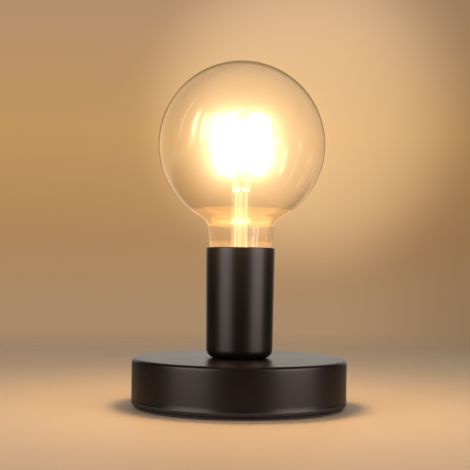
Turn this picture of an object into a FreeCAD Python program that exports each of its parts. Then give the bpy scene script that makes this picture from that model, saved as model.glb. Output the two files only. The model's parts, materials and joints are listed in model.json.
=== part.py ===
import FreeCAD, Part
import math
import os
import Sketcher
from FreeCAD import Vector, Rotation, Placement

# Table lamp with a bare globe bulb, in millimetres.
# Frame: origin in the middle of the base on the table, +Z up along the bulb's axis,
# the cord inlet faces +Y (rear), so the front of the lamp faces -Y.
#
# Heights, from the table up: foot pad, bottom plate, base shell with the ballast
# inside, socket cover, lampholder inside the cover, bulb in the lampholder.

doc = FreeCAD.newDocument("BareBulbTableLamp")

# ---------------------------------------------------------------- dimensions
TABLE = [
    # base
    ("base_r", 60.7, "outer radius of the base shell"),
    ("base_top", 27.5, "height of the base's top face"),
    ("sheet", 1.2, "wall of the base shell and of the socket cover"),
    ("top_fillet", 2.0, "outer rounding of the base's top edge"),
    ("lip_z", 1.9, "height of the base shell's lower edge"),
    ("lip_bevel", 1.2, "width of the bevel on the lower edge"),
    ("lip_rise", 1.6, "height of the bevel on the lower edge"),
    ("lip_h", 1.1, "thickness of the turned-in lower lip"),
    ("lip_wide", 4.2, "width of the turned-in lower lip"),
    ("entry_r", 5.2, "hole for the threaded tube in shell, cover and washers"),
    ("plate_r", 57.6, "radius of the bottom plate"),
    ("pad_r", 58.8, "radius of the foot pad"),
    ("pad_h", 1.1, "thickness of the foot pad"),
    ("ballast_r", 56.0, "radius of the ballast casting"),
    ("ballast_z", 10.3, "underside of the ballast"),
    ("web_z", 19.0, "underside of the ballast's web around the tube"),
    ("pocket_r", 21.0, "radius of the ballast's middle pocket"),
    ("channel_half", 13.0, "half width of the ballast's rear channel"),
    ("channel_z", 23.0, "ceiling of the rear channel"),
    ("pillar_pcr", 42.0, "radius of the circle of the three pillars"),
    ("pillar_r", 6.0, "radius of one pillar"),
    ("screw_r", 1.9, "shank of the bottom screws"),
    ("screw_hole", 2.0, "tapped hole of the bottom screws"),
    ("screw_head", 3.7, "head radius of the bottom screws"),
    # cord inlet at the rear
    ("inlet_z", 14.2, "height of the cord inlet's axis"),
    ("inlet_r", 3.4, "bore of the gland"),
    ("gland_r", 4.9, "barrel of the gland"),
    ("gland_flange", 6.6, "flange radius of the gland"),
    ("gland_out", 2.2, "how far the flange stands out of the wall"),
    # threaded tube and what it clamps
    ("tube_r", 4.95, "outer radius of the threaded tube"),
    ("tube_bore", 3.6, "bore of the threaded tube"),
    ("tube_lo", 13.0, "lower end of the threaded tube"),
    ("tube_hi", 43.0, "upper end of the threaded tube"),
    ("nut_af", 14.0, "width across flats of the tube nuts"),
    ("nut_h", 3.2, "height of the lower nut"),
    ("nut_h2", 4.0, "height of the upper nut"),
    ("washer_h", 0.8, "thickness of washers and of the earth tag"),
    ("washer_r", 8.6, "outer radius of washers"),
    # socket cover
    ("cover_r", 19.5, "outer radius of the cover at its rim"),
    ("cover_foot_r", 18.8, "outer radius of the cover above its foot rounding"),
    ("cover_round", 5.2, "rounding of the cover's foot"),
    ("rim_z", 90.0, "height of the cover's rim"),
    ("rim_ch", 0.45, "bevel of the rim"),
    # lampholder
    ("holder_r", 16.6, "outer radius of the lampholder"),
    ("holder_z", 36.0, "underside of the lampholder"),
    ("holder_split", 47.0, "joint line of lampholder dome and sleeve"),
    ("shoulder_z", 54.0, "top of the dome inside the sleeve"),
    ("insert_z", 50.0, "underside of the contact insert"),
    ("insert_top", 57.0, "top of the contact insert"),
    ("insert_r", 13.9, "radius of the contact insert"),
    ("sleeve_top", 84.0, "upper edge of the lampholder sleeve"),
    ("female_root", 13.55, "inner radius of the lampholder's screw shell"),
    ("female_crest", 12.45, "radius inside the ridge of the screw shell"),
    # bulb
    ("thread_pitch", 3.629, "pitch of the round bulb thread, 7 turns to 25.4 mm"),
    ("male_root", 12.1, "core radius of the bulb cap"),
    ("male_crest", 13.1, "radius over the ridge of the bulb cap"),
    ("contact_z", 58.5, "underside of the bulb's foot contact"),
    ("cap_lo", 63.2, "lower edge of the cap shell"),
    ("cap_hi", 85.0, "upper edge of the cap shell"),
    ("cap_wall", 0.35, "wall of the cap shell"),
    ("globe_r", 47.5, "outer radius of the globe"),
    ("globe_z", 149.0, "height of the globe's centre"),
    ("glass_w", 0.8, "glass thickness"),
    ("neck_r", 18.8, "neck radius where it starts to flare"),
    ("neck_fillet", 7.5, "radius of the flare between neck and globe"),
    ("neck_lo_r", 17.75, "neck radius at the cover's rim"),
    ("shoulder_r", 4.4, "rounding of the neck down to the cap"),
    ("glass_foot_r", 12.2, "radius of the glass in the cap"),
    ("stem_r", 5.45, "outer radius of the glass stem"),
    ("stem_wall", 1.0, "wall of the glass stem"),
    ("stem_top", 124.6, "height where the stem becomes solid glass"),
    ("press_top", 129.8, "top of the stem's press"),
    ("fil_r", 0.95, "radius of one filament"),
    ("fil_lo", 131.0, "height of the filaments' lower ends"),
    ("fil_hi", 166.2, "height of the filaments' upper ends"),
    ("cage_lo_r", 12.8, "radius of the cage at its lower hoop"),
    ("cage_hi_r", 14.5, "radius of the cage at its upper hoop"),
]

sheet = doc.addObject("Spreadsheet::Sheet", "Dims")
VAL = {}
for i, (alias, value, note) in enumerate(TABLE):
    row = i + 1
    sheet.set("A%d" % row, alias)
    sheet.set("B%d" % row, "%.6g" % value)
    sheet.set("C%d" % row, note)
    sheet.setAlias("B%d" % row, alias)
    VAL[alias] = value
doc.recompute()


class Q:
    """A length that knows its value and the sheet expression it comes from."""

    def __init__(self, v, t):
        self.v = float(v)
        self.t = t

    def _op(self, other, sign, value):
        other = q(other)
        return Q(value(self.v, other.v), "(%s %s %s)" % (self.t, sign, other.t))

    def __add__(self, o):
        return self._op(o, "+", lambda a, b: a + b)

    def __radd__(self, o):
        return q(o) + self

    def __sub__(self, o):
        return self._op(o, "-", lambda a, b: a - b)

    def __rsub__(self, o):
        return q(o) - self

    def __mul__(self, o):
        return self._op(o, "*", lambda a, b: a * b)

    def __rmul__(self, o):
        return q(o) * self

    def __truediv__(self, o):
        return self._op(o, "/", lambda a, b: a / b)

    def __neg__(self):
        return Q(-self.v, "(0 - %s)" % self.t)


def q(x):
    if isinstance(x, Q):
        return x
    if isinstance(x, str):
        return Q(VAL[x], "Dims." + x)
    return Q(x, ("%.6f" % x) if x >= 0 else "(0 - %.6f)" % -x)


def root(x):
    x = q(x)
    return Q(math.sqrt(x.v), "sqrt(%s)" % x.t)


def bind(obj, prop, x):
    x = q(x)
    obj.setExpression(prop, x.t)


NODES = []


def node(obj, name):
    """Names a finished sub-part; the name is also its file's name."""
    obj.Label = name
    NODES.append((name, obj))
    return obj


# ------------------------------------------------------- building with Part
def place(obj, x=0, y=0, z=0, rot=None):
    obj.Placement = Placement(Vector(q(x).v, q(y).v, q(z).v), rot or Rotation())
    for axis, value in (("x", x), ("y", y), ("z", z)):
        if isinstance(value, (Q, str)):
            bind(obj, "Placement.Base." + axis, value)
    return obj


ALONG_Y = Rotation(Vector(1, 0, 0), -90)     # local +Z becomes +Y
ALONG_X = Rotation(Vector(0, 1, 0), 90)      # local +Z becomes +X


def cyl(name, r, length, x=0, y=0, z=0, rot=None):
    c = doc.addObject("Part::Cylinder", name)
    c.Radius = q(r).v
    c.Height = q(length).v
    bind(c, "Radius", r)
    bind(c, "Height", length)
    return place(c, x, y, z, rot)


def cone(name, r1, r2, length, x=0, y=0, z=0, rot=None):
    c = doc.addObject("Part::Cone", name)
    for prop, value in (("Radius1", r1), ("Radius2", r2), ("Height", length)):
        setattr(c, prop, q(value).v)
        bind(c, prop, value)
    return place(c, x, y, z, rot)


def box(name, dx, dy, dz, x=0, y=0, z=0, rot=None):
    b = doc.addObject("Part::Box", name)
    for prop, value in (("Length", dx), ("Width", dy), ("Height", dz)):
        setattr(b, prop, q(value).v)
        bind(b, prop, value)
    return place(b, x, y, z, rot)


def hexagon(name, across, length, x=0, y=0, z=0, rot=None):
    p = doc.addObject("Part::Prism", name)
    p.Polygon = 6
    p.Circumradius = q(across).v / math.sqrt(3)
    bind(p, "Circumradius", q(across) / root(3))
    p.Height = q(length).v
    bind(p, "Height", length)
    return place(p, x, y, z, rot)


def cut(name, base, *tools):
    tool = tools[0]
    if len(tools) > 1:
        tool = fuse(name + "Tools", *tools)
    c = doc.addObject("Part::Cut", name)
    c.Base = base
    c.Tool = tool
    return c


def fuse(name, *parts):
    f = doc.addObject("Part::MultiFuse", name)
    f.Shapes = list(parts)
    return f


def common(name, *parts):
    f = doc.addObject("Part::MultiCommon", name)
    f.Shapes = list(parts)
    return f


def group(name, *parts):
    g = doc.addObject("Part::Compound", name)
    g.Links = list(parts)
    return g


# ------------------------------------------------- building with PartDesign
def body(name):
    b = doc.addObject("PartDesign::Body", name)
    return b


def plane(b, role):
    for f in b.Origin.OriginFeatures:
        if f.Role == role:
            return f
    raise RuntimeError("no plane " + role)


def sketch(b, name, role="XZ_Plane"):
    s = b.newObject("Sketcher::SketchObject", name)
    s.AttachmentSupport = [(plane(b, role), "")]
    s.MapMode = "FlatFace"
    return s


def pin(s, geo, pos, x=None, y=None):
    """Ties a sketch point to the origin by its coordinates."""
    for kind, value in (("DistanceX", x), ("DistanceY", y)):
        if value is None:
            continue
        value = q(value)
        if abs(value.v) < 1e-9:
            axis = -2 if kind == "DistanceX" else -1
            s.addConstraint(Sketcher.Constraint("PointOnObject", geo, pos, axis))
        elif value.v > 0:
            c = s.addConstraint(Sketcher.Constraint(kind, -1, 1, geo, pos, value.v))
            s.setExpression("Constraints[%d]" % c, value.t)
        else:
            c = s.addConstraint(Sketcher.Constraint(kind, geo, pos, -1, 1, -value.v))
            s.setExpression("Constraints[%d]" % c, (-value).t)


def outline(s, path):
    """Closed outline. An item is (x, y), or (x, y, cx, cy, turn) for an arc that ends
    at x, y about cx, cy; turn is +1 counter-clockwise, -1 clockwise."""
    n = len(path)
    geos = []
    for i in range(n):
        a = path[i - 1]
        b = path[i]
        ax, ay, bx, by = q(a[0]).v, q(a[1]).v, q(b[0]).v, q(b[1]).v
        if len(b) == 2:
            g = s.addGeometry(Part.LineSegment(Vector(ax, ay, 0), Vector(bx, by, 0)), False)
            geos.append((g, 1, 2))
        else:
            cx, cy = q(b[2]).v, q(b[3]).v
            r = math.hypot(ax - cx, ay - cy)
            t0 = math.atan2(ay - cy, ax - cx)
            t1 = math.atan2(by - cy, bx - cx)
            circle = Part.Circle(Vector(cx, cy, 0), Vector(0, 0, 1), r)
            if b[4] > 0:
                while t1 < t0:
                    t1 += 2 * math.pi
                g = s.addGeometry(Part.ArcOfCircle(circle, t0, t1), False)
                geos.append((g, 1, 2))
            else:
                while t0 < t1:
                    t0 += 2 * math.pi
                g = s.addGeometry(Part.ArcOfCircle(circle, t1, t0), False)
                geos.append((g, 2, 1))
    for i in range(n):
        g, start, end = geos[i]
        h, hstart, hend = geos[(i + 1) % n]
        s.addConstraint(Sketcher.Constraint("Coincident", g, end, h, hstart))
    for i in range(n):
        g, start, end = geos[i]
        item = path[i]
        if len(item) == 2:
            pin(s, g, end, item[0], item[1])
        else:
            pin(s, g, 3, item[2], item[3])
            dx = abs(q(item[0]).v - q(item[2]).v)
            dy = abs(q(item[1]).v - q(item[3]).v)
            # the arc's radius is already fixed by its start, so one coordinate is enough
            if dx > dy:
                pin(s, g, end, None, item[1])
            else:
                pin(s, g, end, item[0], None)


def ring(b, name, path):
    """Revolves an outline in the XZ plane about the Z axis."""
    s = sketch(b, name + "Profile")
    outline(s, path)
    r = b.newObject("PartDesign::Revolution", name)
    r.Profile = s
    r.ReferenceAxis = (s, ["V_Axis"])
    r.Angle = 360.0
    s.Visibility = False
    b.Tip = r
    return r


def ridge(b, name, inner, outer, w_in, w_out, z0, height):
    """Helical ridge of the round bulb thread, from radius inner to outer, with the
    widths w_in and w_out at those radii, starting at height z0."""
    s = sketch(b, name + "Profile")
    z0 = q(z0)
    outline(s, [(inner, z0 - q(w_in) / 2), (outer, z0 - q(w_out) / 2),
                (outer, z0 + q(w_out) / 2), (inner, z0 + q(w_in) / 2)])
    doc.recompute()
    h = b.newObject("PartDesign::AdditiveHelix", name)
    h.Profile = s
    h.ReferenceAxis = (s, ["V_Axis"])
    h.Mode = 0
    h.Pitch = VAL["thread_pitch"]
    h.Height = q(height).v
    bind(h, "Pitch", "thread_pitch")
    bind(h, "Height", height)
    h.LeftHanded = False
    h.Reversed = False
    s.Visibility = False
    b.Tip = h
    return h


# ------------------------------------------------------------ wires by hand
def run(points, bend):
    """A wire of straight runs joined by tangent arcs of the radius bend."""
    pts = [Vector(*p) for p in points]
    edges = []
    at = pts[0]
    for i in range(1, len(pts) - 1):
        p = pts[i]
        u = (pts[i - 1] - p).normalize()
        w = (pts[i + 1] - p).normalize()
        half = math.acos(max(-1, min(1, u.dot(w)))) / 2
        cutback = bend / math.tan(half)
        a = p + u * cutback
        c = p + w * cutback
        mid = p + (u + w).normalize() * (bend / math.sin(half) - bend)
        edges.append(Part.LineSegment(at, a).toShape())
        edges.append(Part.Arc(a, mid, c).toShape())
        at = c
    edges.append(Part.LineSegment(at, pts[-1]).toShape())
    return Part.Wire(edges)


def rod(path, r):
    """Round rod along a wire."""
    edge = path.Edges[0]
    start = edge.valueAt(edge.FirstParameter)
    tangent = edge.tangentAt(edge.FirstParameter)
    circle = Part.Wire([Part.Circle(start, tangent, r).toShape()])
    solid = path.makePipeShell([circle], True, True)
    if solid.Volume < 0:
        solid.reverse()
    return solid


def feature(name, shape):
    f = doc.addObject("Part::Feature", name)
    f.Shape = shape
    return f


# ============================================================== base
pad_h, lip_z = q("pad_h"), q("lip_z")
plate_h = lip_z - pad_h

# foot pad, with three holes that leave the bottom screws reachable
node(cut("FootPad", cyl("FootPadDisc", "pad_r", "pad_h"),
         *[cyl("FootPadHole%d" % k, 4.6, q("pad_h") + 2,
               q("pillar_pcr") * math.cos(math.radians(a)),
               q("pillar_pcr") * math.sin(math.radians(a)), -1)
           for k, a in enumerate((30, 150, 270))]), "foot_pad")

# bottom plate with three countersunk holes
tools = []
for k, a in enumerate((30, 150, 270)):
    x = q("pillar_pcr") * math.cos(math.radians(a))
    y = q("pillar_pcr") * math.sin(math.radians(a))
    tools.append(cone("PlateSink%d" % k, "screw_head", "screw_hole", plate_h, x, y, "pad_h"))
    tools.append(cyl("PlateHole%d" % k, "screw_hole", plate_h + 2, x, y, q("pad_h") - 0.5))
node(cut("BottomPlate", cyl("PlateDisc", "plate_r", plate_h, 0, 0, "pad_h"), *tools), "bottom_plate")

# base shell: spun drum with a turned-in lower lip
b = body("BaseShell")
R, f, w, top = q("base_r"), q("top_fillet"), q("sheet"), q("base_top")
bev, rise, lh = q("lip_bevel"), q("lip_rise"), q("lip_h")
ring(b, "BaseDrum", [
    ("entry_r", top),
    (R - f, top),
    (R, top - f, R - f, top - f, -1),
    (R, lip_z + rise),
    (R - bev, lip_z),
    (R - q("lip_wide"), lip_z),
    (R - q("lip_wide"), lip_z + lh),
    (R - w, lip_z + lh),
    (R - w, top - f),
    (R - f, top - w, R - f, top - f, 1),
    ("entry_r", top - w),
])
doc.recompute()
# hole for the cord inlet, through the rear wall only
s = sketch(b, "InletHoleSketch")
g = s.addGeometry(Part.Circle(Vector(0, VAL["inlet_z"], 0), Vector(0, 0, 1), 5.0), False)
pin(s, g, 3, 0, "inlet_z")
c = s.addConstraint(Sketcher.Constraint("Radius", g, 5.0))
s.setExpression("Constraints[%d]" % c, (q("gland_r") + 0.1).t)
doc.recompute()
before = b.Shape.Volume
pk = b.newObject("PartDesign::Pocket", "InletHole")
pk.Profile = s
pk.Length = 80
pk.Reversed = False
doc.recompute()
# the pocket has to open the wall on the +Y side
if b.Shape.isInside(Vector(0, VAL["base_r"] - VAL["sheet"] / 2, VAL["inlet_z"]), 1e-4, True):
    pk.Reversed = True
    doc.recompute()
assert not b.Shape.isInside(Vector(0, VAL["base_r"] - VAL["sheet"] / 2, VAL["inlet_z"]), 1e-4, True)
assert b.Shape.isInside(Vector(0, -VAL["base_r"] + VAL["sheet"] / 2, VAL["inlet_z"]), 1e-4, True)
assert b.Shape.Volume < before - 50
s.Visibility = False
b.Tip = pk
node(b, "base_shell")

# ballast: cast disc with a middle pocket, a rear channel and three tapped pillars
ballast = ring_b = body("BallastBlank")
ring(ballast, "BallastDisc", [
    ("entry_r", top - w),
    ("ballast_r", top - w),
    ("ballast_r", "ballast_z"),
    ("pocket_r", "ballast_z"),
    ("pocket_r", "web_z"),
    ("entry_r", "web_z"),
])
doc.recompute()
solids = [ballast]
holes = [box("BallastChannel", q("channel_half") * 2, q("ballast_r") + 2,
             q("channel_z") - q("ballast_z") + 2, -q("channel_half"), 0, q("ballast_z") - 2)]
keep = cyl("BallastWebKeep", q("pocket_r") - 5, 4.0, 0, 0, "web_z")
for k, a in enumerate((30, 150, 270)):
    x = q("pillar_pcr") * math.cos(math.radians(a))
    y = q("pillar_pcr") * math.sin(math.radians(a))
    solids.append(cyl("Pillar%d" % k, "pillar_r", q("ballast_z") - lip_z + 2, x, y, lip_z))
    holes.append(cyl("PillarTap%d" % k, "screw_hole", 14.0, x, y, lip_z - 1))
holes.append(cyl("BlockScrewTap", 1.5, 2.6, 3.5, 31.0, q("channel_z") - 0.1))
# the channel must not cut the clamping web around the tube
channel = cut("BallastChannelClear", holes[0], keep)
node(cut("Ballast", fuse("BallastRaw", *solids), channel, *holes[1:]), "ballast_weight")

# three countersunk screws with a cross recess, one group
screws = []
for k, a in enumerate((30, 150, 270)):
    x = q("pillar_pcr") * math.cos(math.radians(a))
    y = q("pillar_pcr") * math.sin(math.radians(a))
    head = cone("ScrewHead%d" % k, q("screw_head") - 0.05, "screw_r", plate_h, x, y, "pad_h")
    shank = cyl("ScrewShank%d" % k, "screw_r", 10.0, x, y, lip_z - 0.2)
    tip = cone("ScrewTip%d" % k, "screw_r", 0.9, 1.2, x, y, lip_z + 9.8)
    s1 = box("ScrewSlotA%d" % k, 4.0, 0.8, 1.4, x - 2.0, y - 0.4, q("pad_h") - 0.2)
    s2 = box("ScrewSlotB%d" % k, 0.8, 4.0, 1.4, x - 0.4, y - 2.0, q("pad_h") - 0.2)
    screws.append(cut("Screw%d" % k, fuse("ScrewRaw%d" % k, head, shank, tip), s1, s2))
node(group("BottomScrews", *screws), "bottom_screws")

# cord inlet: moulded gland through the wall, clamped by a nut from inside
gr, gz = q("gland_r"), q("inlet_z")
flange = cyl("GlandFlange", "gland_flange", 6.0, 0, R - 6.0 + q("gland_out"), gz, ALONG_Y)
nose = cone("GlandNose", "gland_flange", q("gland_flange") - 1.2, 0.9, 0, R + q("gland_out"), gz, ALONG_Y)
wall = cyl("GlandWallCut", "base_r", 30.0, 0, 0, 0)
saddle = cut("GlandSaddle", flange, wall)
barrel = cyl("GlandBarrel", gr, q("gland_out") + 9.0, 0, R - 9.0, gz, ALONG_Y)
bore = cyl("GlandBore", "inlet_r", 20.0, 0, R - 12.0, gz, ALONG_Y)
node(cut("Gland", fuse("GlandRaw", saddle, nose, barrel), bore), "cord_gland")

nut = hexagon("GlandNutHex", 14.0, 6.0, 0, R - q("sheet") - 4.4, gz, ALONG_Y)
inside = cyl("GlandNutCurve", R - w, 30.0, 0, 0, 0)
nut = common("GlandNutSeat", nut, inside)
node(cut("GlandNut", nut, cyl("GlandNutBore", gr + 0.05, 20.0, 0, R - 14.0, gz, ALONG_Y)), "gland_nut")

# ============================================================== tube and clamp
tube = cut("TubeRaw", cyl("TubeOuter", "tube_r", q("tube_hi") - q("tube_lo"), 0, 0, "tube_lo"),
           cyl("TubeInner", "tube_bore", q("tube_hi") - q("tube_lo") + 2, 0, 0, q("tube_lo") - 1))
node(tube, "threaded_tube")

tag_z = q("web_z") - q("washer_h")
lock_z = tag_z - q("washer_h")
nut_z = lock_z - q("nut_h")

# earth tag: ring with a tongue and a crimp barrel
tag_ring = cyl("TagRing", "washer_r", "washer_h", 0, 0, tag_z)
tongue = box("TagTongue", 5.0, 10.5, "washer_h", -2.5, 6.0, tag_z)
crimp = cyl("TagCrimp", 1.75, 4.0, 0, 13.5, 17.15, ALONG_Y)
tag = cut("EarthTag", fuse("TagRaw", tag_ring, tongue, crimp),
          cyl("TagHole", "entry_r", 4.0, 0, 0, tag_z - 1),
          cyl("TagCrimpBore", 1.1, 6.0, 0, 12.5, 17.15, ALONG_Y))
node(tag, "earth_tag")

# split lock washer
washer = cut("LockWasher", cyl("LockRing", "washer_r", "washer_h", 0, 0, lock_z),
             cyl("LockHole", "entry_r", 4.0, 0, 0, lock_z - 1),
             box("LockSplit", 6.0, 0.8, 4.0, 4.0, -0.4, lock_z - 1))
node(washer, "lock_washer")

nut = hexagon("LowerNutHex", "nut_af", "nut_h", 0, 0, nut_z)
nut = common("LowerNutRound", nut, cone("LowerNutBevelA", q("nut_af") * 0.5 - 0.2, q("nut_af") * 0.5 + 6.2, 6.4, 0, 0, nut_z),
             cone("LowerNutBevelB", q("nut_af") * 0.5 + 6.2, q("nut_af") * 0.5 - 0.2, 6.4, 0, 0, nut_z + q("nut_h") - 6.4))
node(cut("LowerNut", nut, cyl("LowerNutBore", q("tube_r") + 0.03, 12.0, 0, 0, nut_z - 2)), "base_nut")

floor_z = top + w
node(cut("TubeWasher", cyl("TubeWasherDisc", "washer_r", "washer_h", 0, 0, floor_z),
         cyl("TubeWasherHole", "entry_r", 4.0, 0, 0, floor_z - 1)), "tube_washer")
nut2_z = floor_z + q("washer_h")
nut = hexagon("UpperNutHex", "nut_af", "nut_h2", 0, 0, nut2_z)
nut = common("UpperNutRound", nut, cone("UpperNutBevelA", q("nut_af") * 0.5 - 0.2, q("nut_af") * 0.5 + 6.2, 6.4, 0, 0, nut2_z),
             cone("UpperNutBevelB", q("nut_af") * 0.5 + 6.2, q("nut_af") * 0.5 - 0.2, 6.4, 0, 0, nut2_z + q("nut_h2") - 6.4))
node(cut("UpperNut", nut, cyl("UpperNutBore", q("tube_r") + 0.03, 12.0, 0, 0, nut2_z - 2)), "cover_nut")

# ============================================================== terminals in the base
ch = q("channel_z")
block = box("BlockBody", 22.0, 14.0, 11.0, -11.0, 24.0, ch - 11.0)
ways = []
for k, x in enumerate((-7.0, 0.0, 7.0)):
    ways.append(cyl("BlockWay%d" % k, 1.6, 18.0, x, 22.0, ch - 5.5, ALONG_Y))
    for m, y in enumerate((27.0, 35.0)):
        ways.append(cyl("BlockTap%d%d" % (k, m), 1.55, 6.0, x, y, ch - 12.0))
ways.append(cyl("BlockMountHole", 1.6, 14.0, 3.5, 31.0, ch - 12.0))
# gaps that part the ways from each other
ways.append(box("BlockGapA", 1.2, 5.0, 20.0, -4.1, 22.0, ch - 14.0))
ways.append(box("BlockGapB", 1.2, 5.0, 20.0, 2.9, 22.0, ch - 14.0))
node(cut("TerminalBlock", block, *ways), "terminal_block")

clamps = []
for k, x in enumerate((-7.0, 0.0, 7.0)):
    for m, y in enumerate((27.0, 35.0)):
        # the front row presses on a wire, the rear row waits for the supply cord
        length = 4.4 if m == 0 else 3.4
        shank = cyl("ClampShank%d%d" % (k, m), 1.45, length, x, y, ch - 11.0)
        slot = box("ClampSlot%d%d" % (k, m), 4.0, 0.6, 1.2, x - 2.0, y - 0.3, ch - 11.4)
        clamps.append(cut("Clamp%d%d" % (k, m), shank, slot))
node(group("BlockClampScrews", *clamps), "terminal_screws")

shank = cyl("BlockScrewShank", 1.4, 13.4, 3.5, 31.0, ch - 11.0)
head = cyl("BlockScrewHead", 2.6, 1.6, 3.5, 31.0, ch - 12.6)
slot = box("BlockScrewSlot", 8.0, 0.7, 1.0, -0.5, 30.65, ch - 13.0)
node(cut("BlockScrew", fuse("BlockScrewRaw", shank, head), slot), "block_screw")

# ============================================================== socket cover
b = body("SocketCover")
C, F, rd = q("cover_r"), q("cover_foot_r"), q("cover_round")
rim, ch2 = q("rim_z"), q("rim_ch")
ring(b, "CoverCup", [
    ("entry_r", top),
    (F - rd, top),
    (F, top + rd, F - rd, top + rd, 1),
    (C, rim - ch2),
    (C - ch2, rim),
    (C - w + 0.2, rim),
    (C - w, rim - 0.2),
    (F - w, top + rd),
    (F - rd, top + w, F - rd, top + rd, -1),
    ("entry_r", top + w),
])
node(b, "socket_cover")

# ============================================================== lampholder
H, hz = q("holder_r"), q("holder_z")
b = body("HolderDome")
ring(b, "DomeCup", [
    (q("tube_r") + 0.05, hz),
    (H - 3.0, hz),
    (H, hz + 3.0, H - 3.0, hz + 3.0, 1),
    (H, "holder_split"),
    (H - 1.6, "holder_split"),
    (H - 1.6, "shoulder_z"),
    (q("insert_r") + 0.2, "shoulder_z"),
    (q("insert_r") + 0.2, "insert_z"),
    (12.5, "insert_z"),
    (12.5, hz + 3.0),
    (8.2, hz + 3.0),
    (8.2, hz + 7.0),
    (q("tube_r") + 0.05, hz + 7.0),
])
doc.recompute()
dome = cut("Dome", b, cyl("DomeGrubHole", 1.55, 6.0, 0, -9.5, hz + 5.0, ALONG_Y))
node(dome, "holder_dome")
grub = cut("GrubRaw", cyl("GrubShank", 1.45, 3.3, 0, q("tube_r") * -1 - 3.4, hz + 5.0, ALONG_Y),
           box("GrubSlot", 4.0, 0.9, 0.5, -2.0, q("tube_r") * -1 - 3.5, hz + 4.75))
node(grub, "holder_grub_screw")

b = body("HolderSleeve")
ring(b, "SleeveTube", [
    (H - 1.5, "holder_split"),
    (H, "holder_split"),
    (H, q("sleeve_top") - 0.8),
    (H - 0.8, "sleeve_top"),
    (14.15, "sleeve_top"),
    (14.15, "shoulder_z"),
    (H - 1.5, "shoulder_z"),
])
node(b, "holder_sleeve")

disc = cyl("InsertDisc", "insert_r", q("insert_top") - q("insert_z"), 0, 0, "insert_z")
insert = cut("Insert", disc,
             box("InsertSlotSide", 1.2, 5.2, 12.0, 11.1, -2.6, q("insert_z") - 2),
             box("InsertSlotMid", 0.9, 5.2, 12.0, -8.75, -2.6, q("insert_z") - 2),
             cyl("InsertTapA", 1.5, 4.0, 9.2, 0, q("insert_z") - 1),
             cyl("InsertTapB", 1.5, 4.0, -10.4, 0, q("insert_z") - 1))
node(insert, "contact_insert")

# screw shell of the lampholder, with an inward ridge
b = body("ScrewShell")
fr, fc = q("female_root"), q("female_crest")
ring(b, "ShellTube", [
    (fr, "insert_top"),
    (fr + 0.4, "insert_top"),
    (fr + 0.4, q("sleeve_top") - 1.0),
    (fr, q("sleeve_top") - 1.0),
])
doc.recompute()
pitch = q("thread_pitch")
ridge(b, "ShellRidge", fc, fr + 0.15, 0.8, 1.9, q("cap_lo") + 3.6, 14.0)
node(b, "screw_shell")

# side contact: strip through the insert that ends at the screw shell
side = fuse("SideRaw",
            box("SideStrip", 1.0, 5.0, 11.0, 11.2, -2.5, 48.0),
            box("SideToe", 2.0, 5.0, 0.8, 11.2, -2.5, 58.2),
            box("SideTab", 5.2, 5.0, 0.8, 7.0, -2.5, 48.0))
side = cut("SideContact", side, cyl("SideTabHole", 1.5, 4.0, 9.2, 0, 46.5))
node(side, "side_contact")

# middle contact: bent strip whose tongue meets the bulb's foot
b = body("MiddleContact")
s = sketch(b, "MiddleProfile")
outline(s, [(-12.2, 48.0), (-8.0, 48.0), (-8.0, 57.1), (-3.0, q("contact_z") - 0.65),
            (3.2, q("contact_z") - 0.65), (4.4, 57.3), (4.8, 57.7),
            (3.4, q("contact_z") - 0.05), (-3.2, q("contact_z") - 0.05), (-8.6, 57.6),
            (-8.6, 48.6), (-12.2, 48.6)])
pd = b.newObject("PartDesign::Pad", "MiddleStrip")
pd.Profile = s
pd.Length = 5.0
pd.Midplane = True
s.Visibility = False
doc.recompute()
mid = cut("MiddleCut", b, cyl("MiddleTabHole", 1.5, 4.0, -10.4, 0, 46.5))
node(mid, "center_contact")

tscrews = []
for k, (x, t) in enumerate(((9.2, 48.0), (-10.4, 48.0))):
    shank = cyl("TermShank%d" % k, 1.4, 4.6, x, 0, t)
    head = cyl("TermHead%d" % k, 2.0, 1.5, x, 0, t - 1.5)
    slot = box("TermSlot%d" % k, 0.6, 6.0, 0.8, x - 0.3, -3.0, t - 2.0)
    tscrews.append(cut("Term%d" % k, fuse("TermRaw%d" % k, shank, head), slot))
node(group("HolderTerminalScrews", *tscrews), "holder_terminal_screws")

# ============================================================== wires inside the stand
wire_r = 1.0
wz = VAL["channel_z"] - 5.5
live = [(7.0, 29.0, wz), (7.0, 17.0, wz), (4.5, 10.5, 8.4), (1.3, 0.0, 6.4), (1.3, 0.0, 45.0), (7.0, 0.0, 46.9)]
node(feature("LiveWire", rod(run(live, 3.0), wire_r)), "live_wire")
neutral = [(-x, y, z) for x, y, z in live]
neutral[-1] = (-8.2, 0.0, 47.0)
neutral[-2] = (-1.3, 0.0, 45.0)
node(feature("NeutralWire", rod(run(neutral, 3.0), wire_r)), "neutral_wire")
earth = [(0.0, 14.0, 17.15), (0.0, 19.0, 17.15), (0.0, 22.5, wz), (0.0, 29.0, wz)]
node(feature("EarthWire", rod(run(earth, 4.0), wire_r)), "earth_wire")

# ============================================================== bulb: cap end
cz = q("contact_z")
b = body("FootContact")
ring(b, "FootDisc", [(0, cz), (3.4, cz), (4.7, cz + 0.7), (4.7, cz + 1.2), (0, cz + 1.2)])
node(b, "bulb_foot_contact")

b = body("CapInsulator")
ring(b, "InsulatorCone", [(0.8, cz + 1.25), (5.9, cz + 1.25), (11.0, cz + 5.1), (11.0, cz + 6.2),
                          (9.2, cz + 6.2), (5.2, cz + 3.1), (0.8, cz + 3.1)])
node(b, "cap_insulator")

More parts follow.
